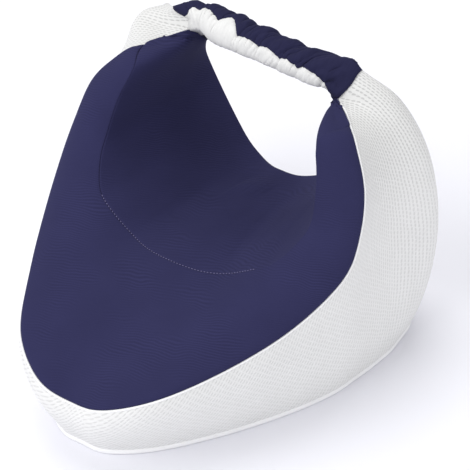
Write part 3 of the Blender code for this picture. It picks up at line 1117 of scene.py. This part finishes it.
def woven_material(name, base, cell):
    """A smooth close weave."""
    material, tree, shader, places = new_material(name, roughness=0.85, sheen=0.1)
    place = places["Object"]
    weave = waves(tree, place, 1 / cell, Detail=3)
    tinted(tree, shader, base, drifting(tree, place, size=0.02, strength=0.06))
    bumped(tree, shader, weave, strength=0.25, distance=0.2 * MM)
    return material


def crinkled_material(name, base, depth, contrast):
    """Gathered stretch knit, finely crinkled across its length, with painted shade in the
    crinkles' valleys and painted light on their ridges.
    """
    material, tree, shader, places = new_material(name, roughness=0.85, sheen=0.02)
    remapped = add(tree, "VectorMath", places["UV"], CREASES, operation="MULTIPLY")
    crease = waves(tree, remapped, 1, Detail=2)
    drift = drifting(tree, places["Object"], size=0.01, strength=0.15)
    # Painted shade and light: the colour darkens in the crinkles' valleys and lightens on
    # their ridges
    lines = calc(tree, "MULTIPLY_ADD", crease, contrast, 1 - contrast / 2)
    tinted(tree, shader, base, calc(tree, "MULTIPLY", lines, drift))
    bumped(tree, shader, crease, depth, distance=0.5 * MM)
    return material


# Pieces


class PILLOW_OT_body(bpy.types.Operator):
    """Build the foam body with its mesh side"""

    bl_idname = "pillow.body"
    bl_label = "Foam body"

    def execute(self, context):
        faces, _ = cloth_faces()
        bm = bmesh.new()
        for name, points in faces.items():
            u, v = mesh_uv(points) if name == "side" else cloth_uv(points)
            add_face(bm, stuffed(points), u, v)
        merged(bm)
        edges = [edge for edge in bm.edges if edge.is_boundary]
        bmesh.ops.holes_fill(bm, edges=edges, sides=0)
        bmesh.ops.recalc_face_normals(bm, faces=bm.faces)
        body = new_object("foam_body", bm)
        shaded(body, mesh_material("air mesh", colours().mesh))
        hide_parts("cushion")
        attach(body, "root")
        return {"FINISHED"}


@functools.cache
def navy_faces():
    """Each navy face's points, its outward ways and its distances across.

    Where two faces share a seam, their ways are the same there.
    """
    faces, _ = cloth_faces()
    near = [step * MM for step in EDGE_STEPS]
    made = {}
    for name in ("front", "channel", "back"):
        short = BACK_SHORT * MM if name == "back" else 0.0
        points = respaced(faces[name], near, EVEN_STEPS, short)
        made[name] = points, normals(sagged(points)), lengths(points, 1)
    extra = (len(faces["channel"]) - len(faces["front"])) // 2
    middle = slice(extra, len(faces["channel"]) - extra)
    every = slice(None)
    shared = (("front", every, "channel", middle), ("channel", every, "back", every))
    for first, first_rows, second, second_rows in shared:
        ways = made[first][1][first_rows], made[second][1][second_rows]
        runs = made[first][2][first_rows], made[second][2][second_rows]
        both = unit(ways[0][:, -1] + ways[1][:, 0], axis=1)
        turns = both - ways[0][:, -1], both - ways[1][:, 0]
        away = runs[0][:, -1:] - runs[0], runs[1]
        for way, turn, far in zip(ways, turns, away):
            share = np.exp(-((far / SEAM_TURN_WIDTH / MM) ** 2))
            way[:] = unit(way + turn[:, None] * share[..., None])
    return made


def tapered(points, reach):
    """0 at a face's first and last rows, and 1 beyond this reach from them."""
    run = lengths(points, 0)
    return eased(np.clip(np.minimum(run, run[-1:] - run) / reach, 0, 1))


def panel(name, face, first_roll, last_roll, first_low, last_low):
    """A navy knit panel over one face, rolled down into its seams."""
    points, outward, across = navy_faces()[face]
    lift = sizes().panel_lift
    first = rolled(across, first_roll, first_low, lift)
    last_rise = sloped if face == "back" else rolled
    last = last_rise(across[:, -1:] - across, last_roll, last_low, lift)
    height = np.minimum(first, last)
    full = np.ones_like(height)
    if face != "front":
        full = tapered(points, HORN_TIP_REACH * MM)
        low = np.minimum(height, HORN_TIP_LIFT * MM)
        height = low + (height - low) * full
    from_edge = np.minimum(across, across[:, -1:] - across)
    full = full * np.clip(from_edge / (EDGE_TAPER * MM), 0, 1)
    made = folded(stuffed(points), outward) + outward * height[..., None]
    if face == "channel":
        bulge = folded(points, outward, NECK_BULGE) - points
        made += bulge * np.clip(across / (NECK_EDGE * MM), 0, 1)[..., None]
    bm = bmesh.new()
    add_face(bm, made, *cloth_uv(points), thick=full)
    merged(bm)
    obj = thickened(new_object(name, bm), sizes().panel_thickness)
    obj.vertex_groups.new(name="thick")
    obj.modifiers["wall"].vertex_group = "thick"
    obj.modifiers["wall"].thickness_vertex_group = THIN_SHARE
    return obj


def seam_heights(count, extra, end_low):
    """The rim's height over its seam, row by row from the left horn's tip.

    Past the join at each horn the edge goes low. The crease fades out on the right.
    """
    size = sizes()
    place = np.arange(count)
    share = (place - extra) / (count - 1 - 2 * extra)
    fade = (share - CREASE_FADES_FROM) / (CREASE_FADES_TO - CREASE_FADES_FROM)
    creased = 1 - np.clip(fade, 0, 1)
    rim = size.panel_lift + (size.seam_height - size.panel_lift) * creased
    into = np.minimum(place, count - 1 - place) - extra
    joined = np.clip(into / JOIN_ROWS, 0, 1)
    return (end_low + (rim - end_low) * joined)[:, None]


class PILLOW_OT_panels(bpy.types.Operator):
    """Lay the navy knit panels over the front, the channel and the back"""

    bl_idname = "pillow.panels"
    bl_label = "Navy panels"

    def execute(self, context):
        size = sizes()
        knit = knit_material(
            "navy knit",
            colours().navy,
            roughness=0.9,
            pitch=1.4 * MM,
            wave=7 * MM,
            depth=0.2,
            contrast=0.26,
        )
        deep, shallow = -SEWN_DEPTH * MM, size.seam_height
        faces, _ = cloth_faces()
        short, count = len(faces["front"]), len(faces["channel"])
        front_rim = seam_heights(short, 0, deep)
        rim = seam_heights(count, (count - short) // 2, deep)
        nose_roll, rim_roll = size.nose_roll, size.rim_roll
        made = {
            "front": panel("front_bib", "front", nose_roll, rim_roll, deep, front_rim),
            "channel": panel("channel_lining", "channel", rim_roll, rim_roll, rim, shallow),
            "back": panel("back_cloth", "back", rim_roll, BACK_ROLL * MM, shallow, deep),
        }
        for face, obj in made.items():
            shaded(obj, knit)
            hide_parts(face + "_panel")
            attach(obj, "root")
        return {"FINISHED"}


class PILLOW_OT_base(bpy.types.Operator):
    """Build the base cloth, whose edge shows along the floor"""

    bl_idname = "pillow.base"
    bl_label = "Base cloth"

    def execute(self, context):
        faces, _ = cloth_faces()
        outline = faces["side"][:-1, -1]
        bm = bmesh.new()
        made = bmesh.ops.create_circle(bm, cap_ends=True, segments=len(outline), radius=1)
        for vertex, spot in zip(made["verts"], outline):
            vertex.co = spot[0], spot[1], 0
        bmesh.ops.remove_doubles(bm, verts=bm.verts, dist=MERGE * MM)
        grown = bmesh.ops.extrude_face_region(bm, geom=bm.faces[:])
        top = [item for item in grown["geom"] if isinstance(item, bmesh.types.BMVert)]
        bmesh.ops.translate(bm, verts=top, vec=(0, 0, BASE_CLOTH_HEIGHT * MM))
        flat = [edge for edge in bm.edges if edge.verts[0].co.z == edge.verts[1].co.z]
        bmesh.ops.bevel(
            bm,
            geom=flat,
            offset=BASE_CLOTH_ROUND * MM,
            segments=3,
            profile=0.5,
            affect="EDGES",
            material=-1,
        )
        bmesh.ops.recalc_face_normals(bm, faces=bm.faces)
        base = new_object("base_cloth", bm)
        shaded(base, woven_material("base cloth", colours().base, 1.1 * MM), angle=60)
        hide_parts("base_panel")
        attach(base, "root")
        return {"FINISHED"}


def tube(name, points, radius):
    """A round cord of one thickness through the points, as a mesh."""
    curve = bpy.data.curves.new(name, "CURVE")
    curve.dimensions = "3D"
    curve.bevel_depth = radius
    curve.bevel_resolution = 2
    curve.use_fill_caps = True
    line = curve.splines.new("POLY")
    line.points.add(len(points) - 1)
    for point, spot in zip(line.points, points):
        point.co = (*spot, 1)
    carrier = linked(name, curve)
    mesh = shown_mesh(carrier)
    bpy.data.objects.remove(carrier, do_unlink=True)
    return linked(name, mesh)


class PILLOW_OT_seams(bpy.types.Operator):
    """Sew the white lip along the navy seam and the stitches along the channel"""

    bl_idname = "pillow.seams"
    bl_label = "Seams"

    def execute(self, context):
        size = sizes()
        faces, _ = cloth_faces()
        side = faces["side"]
        outward = normals(side, closed=True)
        down = unit(side[:, 1] - side[:, 0], axis=1)
        line = stuffed(side)[:, 0] + (down + outward[:, 0] * LIP_OUT) * size.lip
        middle = len(line) // 2
        join, tip = (
            station * STEPS_PER_STATION * FINER_ALONG - LIP_ENDS
            for station in (JOIN_STATION, len(NOSE_SEAM) - 1)
        )
        lip = tube("seam_lip", line[middle - join : middle + tip + 1], size.lip)
        shaded(lip, woven_material("lip cloth", colours().base, 0.8 * MM), angle=60)
        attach(lip, "root")
        sewn = lip, self.stitches(size)
        return {"FINISHED"}

    def stitches(self, size):
        """Small stitches on the channel's seam, along its lower half."""
        points, outward, _ = navy_faces()["front"]
        high = seam_heights(len(points), 0, size.seam_height) + STITCH_RISE * MM
        line = stuffed(points)[:, -1] + outward[:, -1] * high
        steps = np.linalg.norm(np.diff(line, axis=0), axis=1)
        run = np.concatenate(((0,), np.cumsum(steps)))
        first, last = run[-1] * STITCHES_FROM, run[-1] * STITCHES_TO
        half = size.stitch / 2
        bm = bmesh.new()
        for place in np.arange(first, last, size.stitch_pitch):
            start, end = (
                Vector([np.interp(place + shift, run, line[:, k]) for k in range(3)])
                for shift in (-half, half)
            )
            made = bmesh.ops.create_uvsphere(bm, u_segments=6, v_segments=4, radius=1)
            verts = made["verts"]
            thin = size.stitch * STITCH_THICKNESS
            bmesh.ops.scale(bm, verts=verts, vec=(thin, thin, half))
            way = (end - start).to_track_quat("Z", "X").to_matrix()
            bmesh.ops.rotate(bm, verts=verts, cent=(0, 0, 0), matrix=way)
            bmesh.ops.translate(bm, verts=verts, vec=(start + end) / 2)
        made = new_object("rim_stitches", bm)
        shaded(made, woven_material("thread", colours().thread, 0.3 * MM), angle=80)
        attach(made, "root")
        return made


# Strap


def strap_frame(tilt, around):
    """Width and thickness directions of the strap between the two rows around."""
    before, after = (Vector(row[:3]) for row in around)
    along = (after - before).normalized()
    tilt = math.radians(tilt)
    width = Vector((0, math.cos(tilt), math.sin(tilt)))
    width = (width - along * width.dot(along)).normalized()
    return width, along.cross(width).normalized()


def tip_reach(loop, centre, way):
    """How far the flat tip reaches from its centre in one direction."""
    reach = 0.0
    for a, b in zip(loop, loop[1:] + loop[:1]):
        normal = (b - a).normalized()
        across = (a - centre) - normal * (a - centre).dot(normal)
        if across.length < NO_DISTANCE or way.dot(across) <= 0:
            continue
        far = across.length_squared / way.dot(across)
        spot = centre + way * far
        if -TIP_SLACK <= (spot - a).dot(normal) <= (b - a).length + TIP_SLACK:
            reach = far
    return reach


def rough(along, across, seed):
    """Noise at a place of the strap's cloth, about from -1 to 1."""
    return noise.noise(Vector((along, across, seed)))


def scallop(t):
    """Which scallop this place is in, counted with its share, its turn and height."""
    ends, turns, heights = zip(*SCALLOPS)
    place = np.interp(t, ends, range(len(ends)))
    height = heights[min(int(place) + 1, len(ends) - 1)]
    return place, np.interp(t, ends, turns), height


def seam_turn(t):
    """How far, in degrees, the seam of the two colours strays from its even line."""
    place, turn, height = scallop(t)
    share = (place % 1) ** SCALLOP_SHARPNESS
    peak = math.sin(math.pi * share) ** SCALLOP_SHARPNESS
    wander = rough(t * SEAM_WANDER_PACE, 0.3, seed=0.7)
    return turn + height * peak + SEAM_WANDER * wander


def gathers(t, from_seam):
    """How far the gathered cloth stands out from the strap's even tube.

    The angle from the colours' seam is in radians, and above nought over the navy.
    """
    navy = from_seam > 0
    slant = NAVY_SLANT * t if navy else WHITE_SLANT
    share, lower, finest, smoother = NAVY_GATHERS if navy else WHITE_GATHERS
    drift = rough(t * GATHER_DRIFT_PACE, from_seam, seed=0.2)
    there = min(1.0, max(0.0, t - slant * from_seam + GATHER_DRIFT * drift))
    place, _, _ = scallop(there)
    uneven = abs(rough(int(place) * SPLIT_PACE, 0.5, seed=0.5))
    split = 1.0 + SPLIT_MOST * uneven
    lobe = abs(math.sin(math.pi * place)) ** GATHER_SHARPNESS - GATHER_LEVEL
    between = abs(math.sin(math.pi * place * 2 * split + SPLIT_START)) - SPLIT_LEVEL
    far = min(1.0, abs(from_seam) / SMOOTH_BEYOND)
    large = (share - lower * far) * (lobe + SPLIT_SHARE * between)
    fine = rough(there * CRINKLE_PACE, from_seam * 1.1, seed=0.4)
    finer_still = rough(there * FINE_CRINKLE_PACE, from_seam * 1.3, seed=0.9)
    small = (fine + finest * finer_still) * (1.0 - smoother * far)
    return sizes().gather * large + sizes().crinkle * small


@functools.cache
def strap_ends():
    """Each horn's flat tip: its loop, its middle and its way up."""
    _, tip_loop = cloth_faces()
    mirrored = [Vector((-spot.x, spot.y, spot.z)) for spot in tip_loop]
    ends = []
    for loop in (mirrored, tip_loop):
        centre = sum(loop, Vector()) / len(loop)
        normal = (loop[0] - centre).cross(loop[len(loop) // 3] - centre).normalized()
        ends.append((loop, centre, normal if normal.z > 0 else -normal))
    return ends


def strap_skin(side):
    """Points of one half of the strap's cloth, from seam to seam, in metres."""
    steps = STRAP_STEPS // (len(STRAP) - 1)
    rows = smooth_run(STRAP, steps)
    last = len(rows) - 1
    grid = []
    for index, row in enumerate(rows):
        t = index / last
        around = rows[max(index - 1, 0)], rows[min(index + 1, last)]
        *centre, half_width, half_thickness, tilt, turned = row
        centre = Vector(centre)
        width, thick = strap_frame(tilt, around)
        tip, tip_centre, tip_normal = strap_ends()[0 if t < 0.5 else 1]
        near = min(t, 1 - t) / STRAP_ROOT
        blend = eased(min(1.0, near))
        tip_width = (width - tip_normal * width.dot(tip_normal)).normalized()
        tip_thick = thick - tip_normal * thick.dot(tip_normal)
        tip_thick = (tip_thick - tip_width * tip_thick.dot(tip_width)).normalized()
        rise = (centre - tip_centre).length if near > 0 else -STRAP_ROOT_SINK
        fade = min(1.0, near * FOLD_FADE)
        root_turn = LEFT_ROOT_TURN if t < 0.5 else RIGHT_ROOT_TURN
        first = fade * seam_turn(t) + root_turn * (1 - blend) ** ROOT_TURN_FADE
        starts = first, 180 - fade * seam_turn(1 - t) / 2
        low, high = starts if side > 0 else (starts[1] - 360, starts[0])
        section = []
        for corner in range(STRAP_SIDES + 1):
            share = corner / STRAP_SIDES
            angle = math.radians(turned + low + (high - low) * share)
            off_seam = min(share, 1 - share) * math.radians(high - low)
            tuck = SEAM_TUCK * math.exp(-((off_seam / SEAM_TUCK_ANGLE) ** 2))
            from_seam = math.radians(low - starts[0] + (high - low) * share)
            out = fade * (gathers(t, from_seam) / MM - tuck)
            if t > 0.5:
                turn = math.remainder(angle - math.radians(NECK_TURN), 2 * math.pi)
                beside = (turn / NECK_ANGLE) ** 2 + (near / NECK_REACH) ** 2
                out += NECK_OUT * math.exp(-beside)
            spot = centre - width * (math.cos(angle) * (half_width + out))
            spot += thick * (math.sin(angle) * (half_thickness + out))
            if blend < 1:
                way = tip_thick * math.sin(angle) - tip_width * math.cos(angle)
                reach = tip_reach(tip, tip_centre, way) * STRAP_ROOT_SIZE
                root = tip_centre + way * (reach + out) + tip_normal * rise
                spot = root.lerp(spot, blend)
            section.append(tuple(spot))
        grid.append(section)
    return sagged((np.array(grid) - (0, MIDDLE_Y, 0)) * MM)


class PILLOW_OT_strap(bpy.types.Operator):
    """Gather the strap's navy and white halves between the horns"""

    bl_idname = "pillow.strap"
    bl_label = "Strap"

    def execute(self, context):
        colour_of = colours()
        # Columns: name, side, CAD node, slot, colour and the strength of its painted crinkle
        # shade
        halves = (
            ("strap_navy_cloth", 1, "strap_outer", "strap_navy", colour_of.strap_navy, 0.4),
            ("strap_white_cloth", -1, "strap_inner", "strap_white", colour_of.white, 0.15),
        )
        for name, side, node, slot, base, contrast in halves:
            points = strap_skin(side)
            bm = bmesh.new()
            add_face(bm, points, *cloth_uv(points))
            bmesh.ops.reverse_faces(bm, faces=bm.faces)
            half = thickened(new_object(name, bm), STRAP_CLOTH * MM)
            cloth = crinkled_material(name, base, depth=0.3, contrast=contrast)
            shaded(half, cloth, angle=70)
            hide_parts(node)
            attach(half, "root")
        return {"FINISHED"}


# Stage


def soft_light(name, way, power):
    """An even light that comes from this way, as from a large far window."""
    light = bpy.data.lights.new(name, "SUN")
    light.angle = math.radians(SOFTNESS)
    light.energy = power
    obj = linked(name, light)
    obj.rotation_euler = Vector(way).to_track_quat("Z", "Y").to_euler()


class PILLOW_OT_stage(bpy.types.Operator):
    """Set the floor, the lights and the camera"""

    bl_idname = "pillow.stage"
    bl_label = "Stage"

    def execute(self, context):
        scene = context.scene
        scene.view_settings.view_transform = "Standard"
        bm = bmesh.new()
        bmesh.ops.create_grid(bm, x_segments=1, y_segments=1, size=FLOOR_SIZE)
        floor = new_object("floor", bm)
        material, _, shader, _ = new_material("floor", roughness=0.9)
        shader.inputs["Base Color"].default_value = (*colours().floor, 1)
        shaded(floor, material)
        world = bpy.data.worlds.new("studio")
        world.use_nodes = True
        sky = world.node_tree.nodes["Background"]
        sky.inputs["Color"].default_value = (1.0, 1.0, 1.0, 1)
        sky.inputs["Strength"].default_value = SKY
        scene.world = world
        for light in LIGHTS:
            soft_light(*light)
        azimuth = math.radians(CAMERA_AZIMUTH)
        elevation = math.radians(CAMERA_ELEVATION)
        level = math.cos(elevation)
        x, y = math.sin(azimuth) * level, -math.cos(azimuth) * level
        back = Vector((x, y, math.sin(elevation)))
        lens = bpy.data.cameras.new("camera")
        lens.sensor_width = CAMERA_FILM
        lens.lens = CAMERA_LENS
        lens.shift_x, lens.shift_y = CAMERA_SHIFT
        camera = linked("camera", lens)
        camera.location = Vector(CAMERA_TARGET) + back * CAMERA_DISTANCE
        camera.rotation_euler = (-back).to_track_quat("-Z", "Y").to_euler()
        scene.camera = camera
        return {"FINISHED"}


OPERATORS = (
    PILLOW_OT_body,
    PILLOW_OT_panels,
    PILLOW_OT_base,
    PILLOW_OT_seams,
    PILLOW_OT_strap,
    PILLOW_OT_stage,
)


class PILLOW_PT_pillow(bpy.types.Panel):
    """Lists the pillow's sizes, colours and pieces"""

    bl_label = "Knee pillow"
    bl_idname = "PILLOW_PT_pillow"
    bl_space_type = "VIEW_3D"
    bl_region_type = "UI"
    bl_category = "Pillow"

    def draw(self, context):
        column = self.layout.column(align=True)
        for settings in (context.scene.pillow_sizes, context.scene.pillow_colours):
            for name in settings.__annotations__:
                column.prop(settings, name)
        for operator in OPERATORS:
            column.operator(operator.bl_idname)


CLASSES = (PillowSizes, PillowColours, *OPERATORS, PILLOW_PT_pillow)


def register():
    for one in CLASSES:
        bpy.utils.register_class(one)
    bpy.types.Scene.pillow_sizes = PointerProperty(type=PillowSizes)
    bpy.types.Scene.pillow_colours = PointerProperty(type=PillowColours)


def unregister():
    del bpy.types.Scene.pillow_colours
    del bpy.types.Scene.pillow_sizes
    for one in reversed(CLASSES):
        bpy.utils.unregister_class(one)


def main():
    register()
    for operator in OPERATORS:
        module, name = operator.bl_idname.split(".")
        getattr(getattr(bpy.ops, module), name)()


if __name__ == "__main__":
    main()
